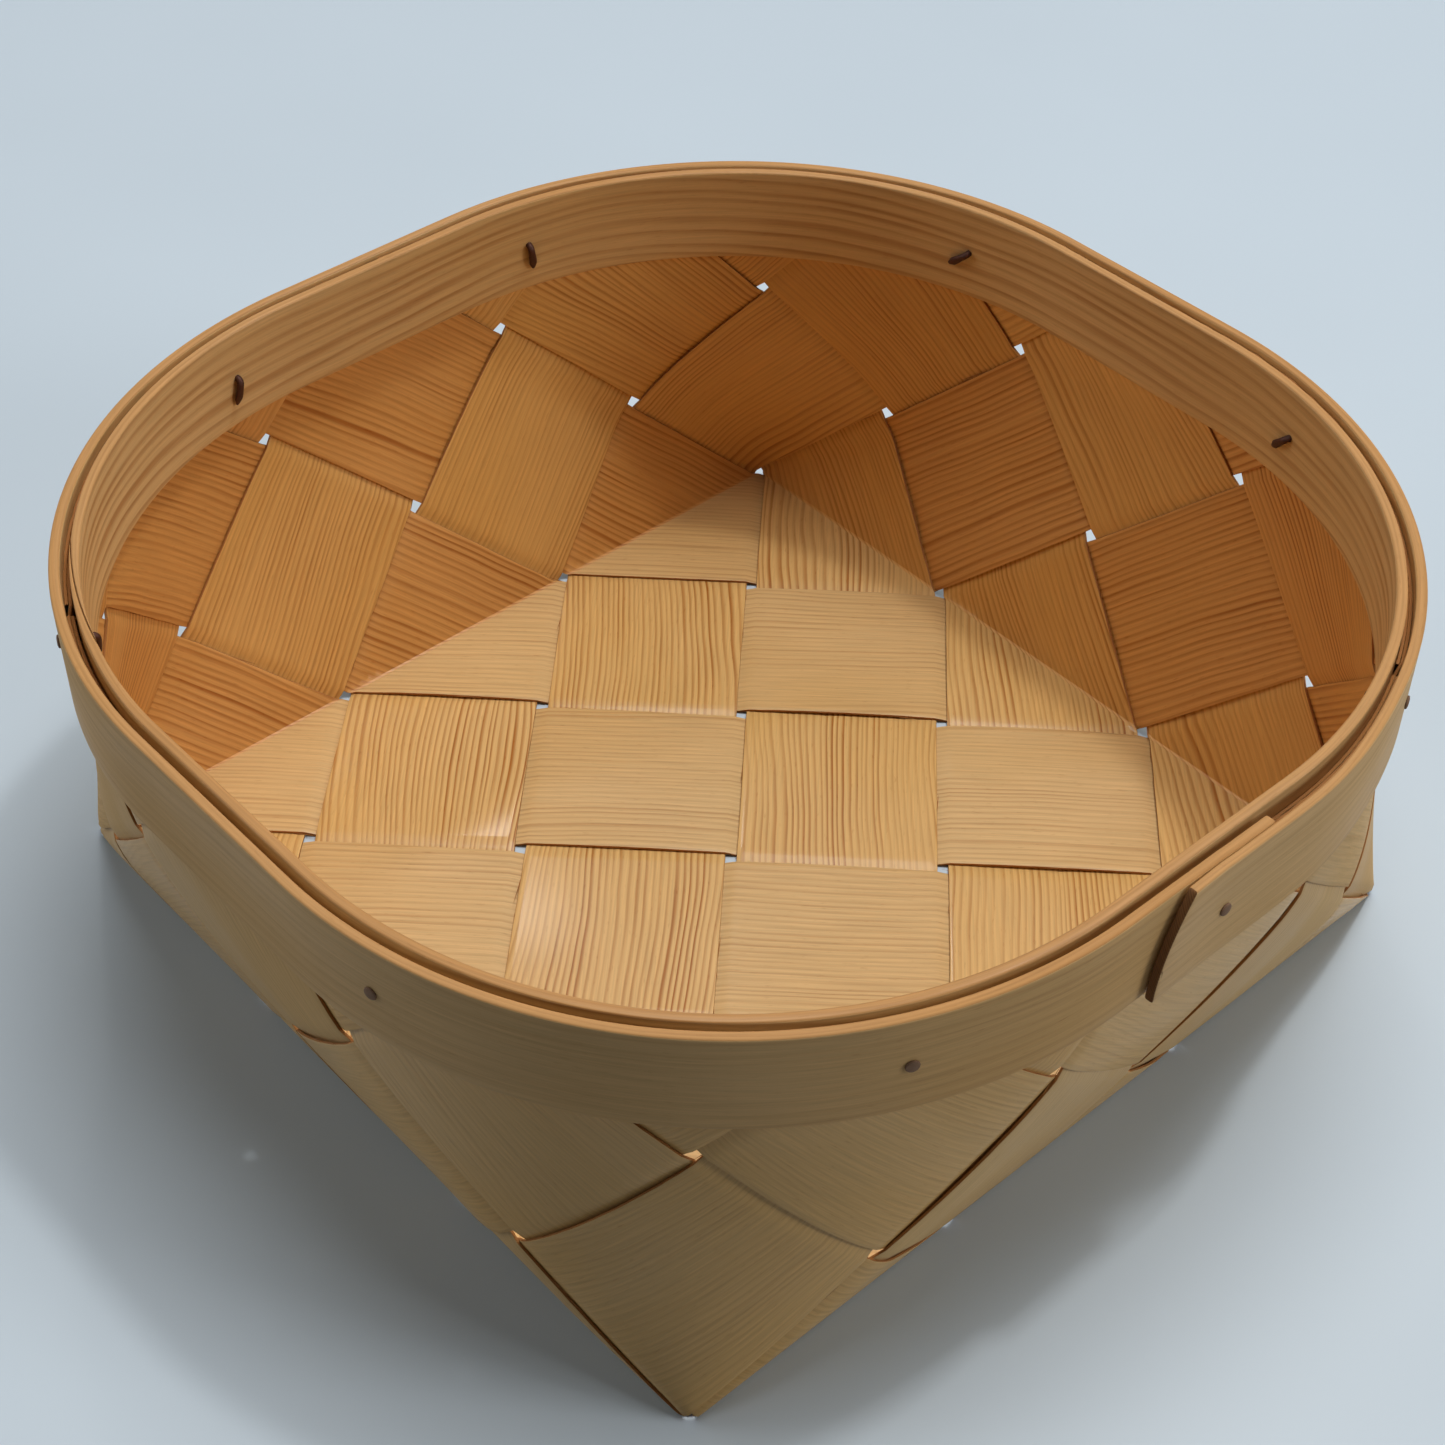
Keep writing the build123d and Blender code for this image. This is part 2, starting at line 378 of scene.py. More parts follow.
# Planed edge of a hoop: early wood with few lines, darker than the hoop's face, partly as painted
# shade along the rim's edges
HOOP_EDGE_PINE = Pine(
    "planed_pine_hoop_edge",
    early="#c6965f",
    late="#98632d",
    warm="#ba864c",
    ring=1.2,
    contrast=0.5,
    wall_contrast=0.5,
    outer_contrast=0.5,
    drift=2.0,
    ripple=0.4,
    slant=0.0,
    roughness=0.5,
)
# Sawn end of a hoop: darker end grain, partly painted shade of the gap beside the lapped end
END_PINE = Pine(
    "sawn_pine_hoop_end_and_shade",
    early="#7f5630",
    late="#4d2f18",
    warm="#6f4826",
    ring=0.6,
    contrast=0.7,
    wall_contrast=0.7,
    outer_contrast=0.7,
    drift=1.0,
    ripple=0.3,
    slant=0.0,
    roughness=0.8,
)


@dataclass(frozen=True)
class Iron:
    """Oxidised iron: dark metal with a brown bloom, in millimetres."""

    name: str
    dark: str
    bloom: str
    roughness: float
    metallic: float
    bloom_size: float = 0.9
    bloom_detail: float = 4.0
    bump: float = 0.4
    bump_depth: float = 0.1

    def material(self) -> bpy.types.Material:
        """Make the finish.

        Returns:
            A material in object space.
        """
        material = new_material(self.name)
        tree = material.node_tree
        place = add_node(tree, "TexCoord", out="Object")
        scale = 1 / (self.bloom_size * MM)
        links = {"Vector": place, "Scale": scale, "Detail": self.bloom_detail}
        patches = add_node(tree, "TexNoise", links)
        links = {0: patches, 6: linear(self.dark), 7: linear(self.bloom)}
        colour = add_node(tree, "Mix", links, out=2, data_type="RGBA")
        links = {"Strength": self.bump, "Distance": self.bump_depth * MM, "Height": patches}
        bump = add_node(tree, "Bump", links)
        shader = add_node(
            tree,
            "BsdfPrincipled",
            {
                "Base Color": colour,
                "Metallic": self.metallic,
                "Roughness": self.roughness,
                "Normal": bump,
            },
        )
        add_node(tree, "OutputMaterial", {0: shader})
        return material


# Oxidised wire that was bent inside the rim: nearly black, brown where it rusts
WIRE_IRON = Iron("oxidised_iron_wire", "#2b150c", "#562b16", 0.55, 0.4)
# Hammered nail heads: rust-stained to a dull brown
HEAD_IRON = Iron("hammered_iron_head", "#674b37", "#8a6a50", 0.75, 0.0)


@dataclass(frozen=True)
class Weave:
    """The flat plait and the way it folds into the base and the wall, in millimetres.

    A place in the flat plait is (across, along): across is counted from the base centre to the
    side of a splint, and along runs down its length. Lift is the distance from the middle of the
    plait towards the inside. A fold is rounded less towards a corner of the base.
    """

    pitch: float = 45.0
    gap: float = 2.4
    thick: float = 0.6
    layer_gap: float = 0.1
    lanes: int = 3
    rows: int = 3
    rim_height: float = 94.0
    hoop_height: float = 22.0
    end_inset: float = 1.2
    girth_drop: float = 7.53
    rim_flat: float = 44.0
    flare_ease: float = 1.5
    fold_radius: float = 0.9
    fold_share: float = 0.9
    least_fold: float = 1e-4

    @cached_property
    def width(self) -> float:
        """Width of a splint."""
        return self.pitch - self.gap

    @cached_property
    def layer(self) -> float:
        """Distance of a splint's middle from the middle of the plait."""
        return (self.thick + self.layer_gap) / 2

    @cached_property
    def mid_z(self) -> float:
        """Height of the middle of the plait over the table."""
        return self.layer + self.thick / 2

    @cached_property
    def base_half(self) -> float:
        """Half the side of the square base."""
        return self.lanes * self.pitch / sqrt(2)

    @cached_property
    def top_reach(self) -> float:
        """Distance in the flat plait from the base centre square to the splint ends."""
        return (self.lanes + self.rows) * self.pitch / sqrt(2)

    @cached_property
    def splint_top(self) -> float:
        """Height of the splint ends."""
        return self.rim_height - self.end_inset

    @cached_property
    def hoop_bottom(self) -> float:
        """Height of the lower edge of the hoops."""
        return self.rim_height - self.hoop_height

    @cached_property
    def rim_radius(self) -> float:
        """Corner radius of the plan at the rim."""
        return (4 * self.base_half - 2 * self.rim_flat) / pi

    @cached_property
    def girth(self) -> float:
        """Length once round the wall, the same at every height."""
        return 8 * self.base_half

    def corner_radius(self, z: float) -> float:
        """Corner radius of the wall at height z: sharp at the base, full below the hoops."""
        share = (z - self.mid_z) / (self.hoop_bottom - self.girth_drop - self.mid_z)
        share = min(1.0, max(0.0, share))
        return self.rim_radius * (1 - (1 - share) ** self.flare_ease)

    def outline(self, s: float, radius: float) -> tuple[Vector, Vector]:
        """Find a place on a wall row.

        Args:
            s: Distance along the row from the middle of the +Y side towards +X.
            radius: Corner radius of the row.

        Returns:
            The plan point and the outward direction there.
        """
        flat = self.base_half - radius * pi / 4
        hand = 1 if s >= 0 else -1
        past = abs(s) - flat
        if past <= 0:
            return Vector((s, flat + radius, 0)), Vector((0, 1, 0))
        if past < radius * pi / 2:
            turn = past / radius
            normal = Vector((hand * sin(turn), cos(turn), 0))
            return Vector((hand * flat, flat, 0)) + normal * radius, normal
        rest = past - radius * pi / 2
        return Vector((hand * (flat + radius), flat - rest, 0)), Vector((hand, 0, 0))

    def wall_point(self, x: float, reach: float, lift: float) -> Vector:
        """Place on the +Y wall, reach counted outward in the flat plait."""
        climb = (reach - self.base_half) / (self.top_reach - self.base_half)
        z = self.mid_z + (self.splint_top - self.mid_z) * climb
        point, normal = self.outline(x, self.corner_radius(z))
        point = point - normal * lift
        point.z = z
        return point

    def splint_point(self, across: float, along: float, lift: float) -> Vector:
        """Fold a place of the flat plait into the basket.

        Args:
            across: Place across the plait.
            along: Place along the splint.
            lift: Distance towards the inside.

        Returns:
            The place in the basket, in millimetres.
        """
        x = (across - abs(along)) / sqrt(2)
        y = (across + abs(along)) / sqrt(2)
        past = y - self.base_half
        bend = max(self.least_fold, min(self.fold_radius, self.fold_share * (self.base_half - abs(x))))
        if past <= -bend:
            point = Vector((x, y, self.mid_z + lift))
        elif past >= bend:
            point = self.wall_point(x, y, lift)
        else:
            t = (past + bend) / (2 * bend)
            start = Vector((x, self.base_half - bend, self.mid_z + lift))
            stop = self.wall_point(x, self.base_half + bend, lift)
            mitre = Vector((x, self.base_half - lift, self.mid_z + lift))
            point = start * (1 - t) ** 2 + mitre * (2 * t * (1 - t)) + stop * t**2
        return point if along >= 0 else Vector((point.y, point.x, point.z))

    def rim_point(self, s: float, offset: float) -> Vector:
        """Plan place on the rim, s counted from the middle of the +X side towards +Y."""
        quarter = round(s / (self.girth / 4))
        point, normal = self.outline(s - quarter * self.girth / 4, self.rim_radius)
        point = point + normal * offset
        return Matrix.Rotation(quarter * pi / 2, 3, "Z") @ Vector((point.y, point.x, 0))

    def rim_normal(self, s: float) -> Vector:
        """Outward direction at a place on the rim."""
        return (self.rim_point(s, 1.0) - self.rim_point(s, 0.0)).normalized()


def finish_piece(
    bm: bmesh.types.BMesh,
    name: str,
    materials: list[bpy.types.Material],
) -> bpy.types.Object:
    """Turn a finished bmesh in millimetres into an object in metres.

    Args:
        bm: The mesh, which is freed.
        name: Name of the object.
        materials: Its materials, in slot order.

    Returns:
        The object, at the origin.
    """
    bmesh.ops.recalc_face_normals(bm, faces=bm.faces)
    bmesh.ops.scale(bm, vec=(MM, MM, MM), verts=bm.verts)
    mesh = bpy.data.meshes.new(name)
    bm.to_mesh(mesh)
    bm.free()
    for material in materials:
        mesh.materials.append(material)
    mesh.shade_smooth()
    mesh.set_sharp_from_angle(angle=radians(SHADE_ANGLE))
    piece = bpy.data.objects.new(name, mesh)
    bpy.context.scene.collection.objects.link(piece)
    return piece


def hand_over(piece: bpy.types.Object, node: str) -> None:
    """Tie a finished piece to the CAD node that it stands for.

    Args:
        piece: The finished object.
        node: Name of the CAD node.
    """
    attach(piece, "root")
    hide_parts(node)
    LOG.info("%s: %d faces", piece.name, len(piece.data.polygons))


@dataclass
class Splints:
    """The twelve plaited splints, in millimetres.

    Between two crossings a splint bows, and its edges curl. That dies out near the folds, under
    the hoops and where it would meet the table. Places up the wall are shares of its climb.
    """

    weave: Weave
    step: float = 1.5
    edge_round: float = 0.14
    edge_angle: float = 60.0
    edge_wander: float = 0.28
    wander_span: float = 38.0
    edge_nick: float = 0.07
    nick_span: float = 2.6
    nick_from: float = 0.99
    face_from: float = 0.5
    edge_grain: float = 7.0
    # The wall share starts just before the fold, so that its painted warm glow also lays painted shade
    # over the fold's rounded crest
    wall_from: tuple[float, float] = (-1.2, 0.4)
    draw_cells: int = 8
    bow: tuple[float, float] = (0.04, 0.24)
    bow_fall: float = 0.45
    curl: tuple[float, float] = (0.0, 0.5)
    curl_power: float = 1.3
    fold_calm: tuple[float, float] = (1.0, 7.0)
    rim_calm: tuple[float, float] = (0.60, 0.74)
    table_calm: tuple[float, float] = (0.03, 0.16)
    end_from: float = 0.8
    end_fray: float = 0.7
    fray_span: float = 4.0
    end_drop: float = 3.6
    drop_front: tuple[float, float] = (-0.5, 0.6)
    slivers: int = 16
    sliver_length: tuple[float, float] = (2.5, 8.0)
    sliver_root: float = 0.16
    sliver_stray: tuple[float, float] = (0.05, 0.13)
    sliver_rise: tuple[float, float] = (0.0, 0.8)
    sliver_taper: float = 8.0
    seed: int = 11
    materials: dict[Way, list[bpy.types.Material]] = field(default_factory=dict)

    def dress(self) -> None:
        """Make the two pine finishes and the torn edge."""
        edge = SHADED_EDGE_PINE.material()
        self.materials = {
            Way.WARP: [WARP_PINE.material(), edge],
            Way.WEFT: [WEFT_PINE.material(), edge],
        }

    def blank(self, lane: int, seed: float) -> bmesh.types.BMesh:
        """Cut one flat splint, with its grain map, before it is woven.

        Args:
            lane: Lane of the splint, counted out from the base centre.
            seed: Seed of its edge and grain.

        Returns:
            The flat splint, x across, y along and z through its thickness.
        """
        w = self.weave
        length = 2 * (w.lanes + w.rows - lane) * w.pitch
        middle = (lane + 0.5) * w.pitch
        bm = bmesh.new()
        bmesh.ops.create_grid(
            bm,
            x_segments=round(w.width / self.step),
            y_segments=round(length / self.step),
            size=0.5,
        )
        bmesh.ops.scale(bm, vec=(w.width, length, 1), verts=bm.verts)
        for vert in bm.verts:
            side = vert.co.x / (w.width / 2)
            hand = 1 if side > 0 else -1
            drift = self.edge_wander * wander(vert.co.y, self.wander_span, seed + hand)
            nick = 0.0
            if abs(side) > self.nick_from:
                nick = self.edge_nick * wander(vert.co.y, self.nick_span, seed + 5 * hand)
            vert.co.x += abs(side) * drift + nick
        bmesh.ops.translate(bm, vec=(middle, 0, 0), verts=bm.verts)
        bend = w.fold_radius
        for hand in (1, -1):
            outward = Vector((1, hand, 0)).normalized()
            inward = Vector((1, -hand, 0)).normalized()
            cuts = [(outward, w.base_half + bend * k / 2, False) for k in (-2, -1, 0, 1, 2)]
            cuts += [(inward, -w.base_half, False), (outward, w.top_reach, True)]
            for normal, distance, clear in cuts:
                bmesh.ops.bisect_plane(
                    bm,
                    geom=bm.verts[:] + bm.edges[:] + bm.faces[:],
                    dist=CUT_SLACK,
                    plane_co=normal * distance,
                    plane_no=normal,
                    clear_outer=clear,
                )
        bmesh.ops.solidify(bm, geom=bm.faces[:], thickness=w.thick)
        low = min(vert.co.z for vert in bm.verts)
        bmesh.ops.translate(bm, vec=(0, 0, -low - w.thick / 2), verts=bm.verts)
        bm.normal_update()
        sharp = [edge for edge in bm.edges if edge.calc_face_angle(0.0) > radians(self.edge_angle)]
        bmesh.ops.bevel(
            bm,
            geom=sharp,
            offset=self.edge_round,
            offset_type="OFFSET",
            segments=2,
            profile=0.5,
            affect="EDGES",
            material=-1,
        )
        bm.normal_update()
        grain = bm.loops.layers.uv.new(GRAIN_MAP)
        wall = bm.verts.layers.float.new(WALL_SHARE)
        for vert in bm.verts:
            climb = (vert.co.x + abs(vert.co.y)) / sqrt(2) - w.base_half
            vert[wall] = smooth(*self.wall_from, climb) * (1 if vert.co.z > 0 else -1)
        for face in bm.faces:
            face.material_index = 0 if abs(face.normal.z) > self.face_from else 1
            for loop in face.loops:
                x, y, z = loop.vert.co
                place = (x - middle + self.edge_grain * z, y)
                loop[grain].uv = [mm / UV_MM + step * seed for mm, step in zip(place, GRAIN_STEP)]
        return bm

    def fray_edges(self, bm: bmesh.types.BMesh, lane: int, draw: random.Random) -> None:
        """Leave torn slivers along both long edges of a flat splint.

        Args:
            bm: The flat splint, changed in place.
            lane: Its lane.
            draw: Random numbers of this splint.
        """
        w = self.weave
        edge = w.width / 2 - self.sliver_root
        middle = (lane + 0.5) * w.pitch
        reach = (w.lanes + w.rows - lane - 1.5) * w.pitch
        grain = bm.loops.layers.uv.active
        for _ in range(self.slivers):
            hand, way = draw.choice((1, -1)), draw.choice((1, -1))
            length = draw.uniform(*self.sliver_length)
            root = Vector((middle + hand * edge, draw.uniform(-reach, reach), 0.0))
            stray = draw.uniform(*self.sliver_stray)
            lean = Vector((hand * stray, way, stray * draw.uniform(*self.sliver_rise))).normalized()
            turned = lean.to_track_quat("Z", "Y").to_matrix().to_4x4()
            cone = bmesh.ops.create_cone(
                bm,
                cap_ends=True,
                segments=4,
                radius1=self.sliver_root,
                radius2=self.sliver_root / self.sliver_taper,
                depth=length,
                matrix=Matrix.Translation(root + lean * length / 2) @ turned,
            )
            faces = {face for vert in cone["verts"] for face in vert.link_faces}
            for face in faces:
                face.material_index = 1
                for loop in face.loops:
                    loop[grain].uv = (loop.vert.co.x / UV_MM, loop.vert.co.y / UV_MM)

    def weave_in(self, bm: bmesh.types.BMesh, lane: int, turn: int, seed: float) -> None:
        """Bend a flat splint over and under and up the wall.

        Args:
            bm: The flat splint, changed in place.
            lane: Its lane.
            turn: Quarter turns round the basket.
            seed: Seed of its soft random lines.
        """
        w = self.weave
        draw = random.Random(self.seed + 4 * lane + turn)
        quarter = Matrix.Rotation(turn * pi / 2, 3, "Z")
        half = w.width / 2
        middle = (lane + 0.5) * w.pitch
        cells = range(-self.draw_cells, self.draw_cells)
        bow = {cell: draw.uniform(*self.bow) for cell in cells}
        sides = [(cell, hand) for cell in cells for hand in (1, -1)]
        curl = {side: draw.uniform(*self.curl) ** self.curl_power for side in sides}
        for vert in bm.verts:
            across, along, through = vert.co
            cell = int(along // w.pitch)
            place = along - (cell + 0.5) * w.pitch
            sign = 1 if (lane + cell) % 2 == 0 else -1
            reach = (across + abs(along)) / sqrt(2)
            climb = (reach - w.base_half) / (w.top_reach - w.base_half)
            if abs(place) <= half:
                crown = 1 - (place / half) ** 2
                side = (across - middle) / half
                hand = 1 if side > 0 else -1
                extra = bow[cell] * (1 - self.bow_fall * side * side)
                extra += curl[cell, hand] * abs(side) ** 3
                room = 1 - smooth(*self.rim_calm, climb)
                room *= smooth(*self.fold_calm, abs(reach - w.base_half))
                if sign < 0:
                    room *= smooth(*self.table_calm, climb)
                lift = sign * (w.layer + crown * extra * room)
            else:
                lift = sign * w.layer * sin(pi * (w.pitch / 2 - abs(place)) / w.gap)
            point = quarter @ w.splint_point(across, along, lift + through)
            if climb > self.end_from:
                front = smooth(*self.drop_front, (point.x - point.y) / (2 * w.base_half))
                fray = self.end_fray * (0.5 + 0.5 * wander(across - along, self.fray_span, seed + 3))
                point.z -= (fray + self.end_drop * front) * smooth(self.end_from, 1.0, climb)
            vert.co = point

    def build(self) -> None:
        """Make, dress and hand over every splint."""
        self.dress()
        w = self.weave
        for lane in range(w.lanes):
            for turn in range(4):
                way = Way.WARP if turn % 2 == 0 else Way.WEFT
                number = w.lanes + 1 + lane if turn < 2 else w.lanes - lane
                seed = 1.0 + 4 * lane + turn
                bm = self.blank(lane, seed)
                self.fray_edges(bm, lane, random.Random(100 * self.seed + 4 * lane + turn))
                self.weave_in(bm, lane, turn, seed)
                node = f"{way.value}_splint_{number}"
                piece = finish_piece(bm, f"woven_{node}", self.materials[way])
                hand_over(piece, node)


@dataclass
class Rim:
    """The two bent hoops that hold the splint ends, in millimetres.

    The outer hoop's end ramps out and laps over its start. The inner hoop's ends are pared thin
    and meet flush in a scarf. Places along a hoop are counted from the middle of the +X side.
    """

    weave: Weave
    splint_fit: float = 0.35
    thick: float = 1.8
    fit: float = 0.1
    lap_end: float = 13.0
    lap_slant: float = 7.0
    lap_bow: float = 1.6
    lap_lift: float = 0.35
    snug: float = 0.25
    ramp_end: float = 58.64
    scarf_middle: float = -254.55
    scarf_length: float = 30.0
    scarf_tip: float = 0.02
    step: float = 2.6
    rows: int = 9
    edge_round: float = 0.45
    edge_angle: float = 50.0
    face_from: float = 0.8
    end_from: float = 0.4
    edge_dip: float = 0.5
    dip_span: float = 70.0
    edge_sway: float = 0.3
    sway_span: float = 55.0
    seed: float = 20.0
    materials: list[bpy.types.Material] = field(default_factory=list)

    @cached_property
    def inner_offset(self) -> float:
        """Distance of a hoop's near face from the middle of the splint ends."""
        return self.weave.layer + self.weave.thick / 2 + self.splint_fit

    def stand_off(self, side: RimSide, s: float, through: float) -> float:
        """Distance of a place in a hoop from the middle of the splint ends.

        Args:
            side: Which hoop.
            s: Place along it.
            through: Place in its thickness, from the side next to the splints.

        Returns:
            The distance, counted outward.
        """
        if side is RimSide.OUTER:
            share = min(1.0, max(0.0, (s - self.lap_end) / (self.ramp_end - self.lap_end)))
            lapped = (1 + cos(pi * share)) / 2
            rise = (self.thick + self.fit) * lapped
            rise -= self.snug * (1 - lapped) * (1 - through / self.thick)
            rise += self.lap_lift * smooth(0.0, -self.lap_end, s)
            return self.inner_offset + through + rise
        start = self.scarf_middle - self.scarf_length / 2
        under = (s - start) / self.scarf_length
        over = (start + self.weave.girth + self.scarf_length - s) / self.scarf_length
        room = (self.thick - self.fit) / self.thick
        if under < 1.0:
            return -self.inner_offset - through * max(self.scarf_tip, under * room)
        if over < 1.0:
            pared = (self.thick - through) * max(self.scarf_tip, over * room)
            return -self.inner_offset - self.thick + pared
        calm = smooth(1.0, 2.0, under) * smooth(1.0, 2.0, over)
        return -self.inner_offset - through + self.snug * calm * (1 - through / self.thick)

    def hoop(self, side: RimSide) -> bmesh.types.BMesh:
        """Cut a flat band and bend it round the rim.

        Args:
            side: Inside or outside the splint ends.

        Returns:
            The hoop in millimetres.
        """
        w = self.weave
        foot = self.lap_end + self.lap_slant / 2
        start, stop = -foot, w.girth + self.lap_end
        if side is RimSide.INNER:
            start = self.scarf_middle - self.scarf_length / 2
            stop = start + w.girth + self.scarf_length
        seed = self.seed + side.value
        bm = bmesh.new()
        steps = round((stop - start) / self.step)
        bmesh.ops.create_grid(bm, x_segments=steps, y_segments=self.rows, size=0.5)
        bmesh.ops.scale(bm, vec=(stop - start, w.hoop_height, 1), verts=bm.verts)
        middle = ((start + stop) / 2, w.rim_height - w.hoop_height / 2, 0)
        bmesh.ops.translate(bm, vec=middle, verts=bm.verts)
        if side is RimSide.OUTER:
            bmesh.ops.bisect_plane(
                bm,
                geom=bm.verts[:] + bm.edges[:] + bm.faces[:],
                dist=CUT_SLACK,
                plane_co=(-foot, w.hoop_bottom, 0),
                plane_no=Vector((-w.hoop_height, self.lap_slant, 0)).normalized(),
                clear_outer=True,
            )
        bmesh.ops.solidify(bm, geom=bm.faces[:], thickness=self.thick)
        low = min(vert.co.z for vert in bm.verts)
        bmesh.ops.translate(bm, vec=(0, 0, -low), verts=bm.verts)
        bm.normal_update()
        sharp = [edge for edge in bm.edges if edge.calc_face_angle(0.0) > radians(self.edge_angle)]
        bmesh.ops.bevel(
            bm,
            geom=sharp,
            offset=self.edge_round,
            offset_type="OFFSET",
            segments=3,
            profile=0.5,
            affect="EDGES",
            material=-1,
        )
        bm.normal_update()
        grain = bm.loops.layers.uv.new(GRAIN_MAP)
        for face in bm.faces:
            face.material_index = 0 if abs(face.normal.z) > self.face_from else 1
            if abs(face.normal.x) > self.end_from:
                face.material_index = 2
            for loop in face.loops:
                x, y, z = loop.vert.co
                loop[grain].uv = [mm / UV_MM + step * seed for mm, step in zip((y + z, x), GRAIN_STEP)]
        wall = bm.verts.layers.float.new(WALL_SHARE)
        for vert in bm.verts:
            s, z, through = vert.co
            vert[wall] = -1.0 if side is RimSide.OUTER and through > self.thick / 2 else 0.0
            share = (z - w.hoop_bottom) / w.hoop_height
            if side is RimSide.OUTER:
                s -= 4 * self.lap_bow * share * (1 - share) * smooth(self.lap_end, -self.lap_end, s)
            dip = self.edge_dip * (0.5 + 0.5 * wander(s % w.girth, self.dip_span, seed))
            sway = self.edge_sway * wander(s % w.girth, self.sway_span, seed + 4)
            point = w.rim_point(s, self.stand_off(side, s, through))
            point.z = z - dip * share + sway * (1 - share)
            vert.co = point
        return bm

    def build(self) -> None:
        """Make, dress and hand over both hoops."""
        self.materials = [HOOP_PINE.material(), HOOP_EDGE_PINE.material(), END_PINE.material()]
        for side in RimSide:
            node = f"{side.name.lower()}_hoop"
            piece = finish_piece(self.hoop(side), f"bent_{node}", self.materials)
            hand_over(piece, node)


@dataclass
class Nails:
    """Wire nails through the rim, heads outside and points turned down inside, in millimetres.

    The domed head is drawn in shares of its thickness and radius. The bent point is hammered
    flatter and wider, and its end is hooked back into the hoop.
    """

    rim: Rim
    wire: float = 1.5
    head: float = 2.6
    head_thick: float = 0.5
    dome: tuple[tuple[float, float], ...] = (
        (-1.0, 0.0),
        (-1.0, 0.55),
        (-0.75, 0.9),
        (-0.4, 1.0),
        (0.0, 0.97),
    )
    leg: float = 6.0
    clinch_gap: float = 0.3
    fit: float = 0.05
    tip: float = 1.6
    blunt: float = 0.3
    blunt_share: float = 0.45
    shank_cuts: int = 28
    sides: int = 14
    weld: float = 1e-4
    flatten: float = 0.22
    hook: float = 0.45
    hammered: float = 3.0
    crossing: float = 31.82
    shifts: tuple[float, float, float, float] = (-1.6, 14.2, 7.2, 10.2)
    leans: tuple[float, ...] = (-6.0, 17.0, 43.0, 50.0, -6.0, 14.0, -11.0, -20.0, -6.0)

    def places(self) -> list[float]:
        """Place of each nail along the rim, in order, from the middle of the +X side."""
        front, right, back, left = self.shifts
        one, two, side = self.crossing, 2 * self.crossing, self.rim.weave.girth / 4
        return [
            0.0,
            two,
            side - one - right,
            side + one + right,
            2 * side - one - back,
            2 * side + one + back,
            3 * side - two,
            3 * side + one + left,
            -two - front,
        ]

    def straight(self, shank: float) -> bmesh.types.BMesh:
        """Turn a straight nail about its own axis.

        Args:
            shank: Length from the seat of the head to the point.

        Returns:
            The nail along +X, with the seat of its head at 0.
        """
        bm = bmesh.new()
        r, big = self.wire / 2, self.head / 2
        line = [(x * self.head_thick, y * big) for x, y in self.dome]
        line += [(0.0, r), (shank - self.tip, r)]
        line += [(shank - self.blunt, self.blunt_share * r), (shank, 0.0)]
        verts = [bm.verts.new((x, y, 0)) for x, y in line]
        edges = [bm.edges.new(pair) for pair in zip(verts, verts[1:])]
        bmesh.ops.subdivide_edges(bm, edges=[edges[len(self.dome)]], cuts=self.shank_cuts)
        bmesh.ops.spin(
            bm,
            geom=bm.verts[:] + bm.edges[:],
            cent=(0, 0, 0),
            axis=(1, 0, 0),
            angle=2 * pi,
            steps=self.sides,
            use_merge=True,
        )
        bmesh.ops.remove_doubles(bm, verts=bm.verts, dist=self.weld)
        return bm

    def build(self) -> None:
        """Make, dress and hand over every nail."""
        irons = [WIRE_IRON.material(), HEAD_IRON.material()]
        rim, w = self.rim, self.rim.weave
        outer = rim.inner_offset + rim.thick
        bend = self.wire / 2 + self.clinch_gap
        for number, s in enumerate(self.places(), start=1):
            seat = outer + self.fit
            if s == 0:
                seat += rim.thick + rim.fit
            run = seat + outer
            shank = run + bend * pi / 2 + self.leg - bend
            bm = self.straight(shank)
            for face in bm.faces:
                face.material_index = 1 if face.calc_center_median().x < 0 else 0
            for vert in bm.verts:
                x, y, z = vert.co
                turn = min(pi / 2, max(0.0, (x - run) / bend))
                past = max(0.0, x - run - bend * pi / 2)
                centre = Vector((min(x, run) + bend * sin(turn), -bend * (1 - cos(turn)) - past, 0))
                across = Vector((sin(turn), cos(turn), 0))
                flat = 1 - self.flatten * smooth(0, self.hammered, past)
                hook = self.hook * smooth(self.leg - self.hammered, self.leg, past + bend)
                vert.co = centre + across * (y * flat) + Vector((-hook, 0, z * (2 - flat)))
            out = w.rim_normal(s)
            up = Vector((0, 0, 1))
            middle = w.rim_point(s, 0) + up * (w.rim_height - w.hoop_height / 2)
            seat_frame = Matrix((-out, up, (-out).cross(up))).transposed()
            lean = Matrix.Rotation(-radians(self.leans[number - 1]), 3, "X")
            bmesh.ops.transform(bm, matrix=(seat_frame @ lean).to_4x4(), verts=bm.verts)
            bmesh.ops.translate(bm, vec=middle + out * seat, verts=bm.verts)
            node = f"nail_{number}"
            hand_over(finish_piece(bm, f"clinched_{node}", irons), node)


@dataclass(frozen=True)
class Lamp:
    """A square lamp aimed at the middle of the base, in metres and watts."""

    name: str
    place: tuple[float, float, float]
    size: float
    power: float

    def hang(self, colour: str) -> None:
        """Add the lamp to the scene.

        Args:
            colour: Colour of its light, as hex.
        """
        lamp = bpy.data.lights.new(self.name, "AREA")
        lamp.shape = "SQUARE"
        lamp.size = self.size
        lamp.energy = self.power
        lamp.color = linear(colour)[:3]
        holder = bpy.data.objects.new(self.name, lamp)
        holder.location = self.place
        holder.rotation_euler = (-Vector(self.place)).to_track_quat("-Z", "Y").to_euler()
        bpy.context.scene.collection.objects.link(holder)


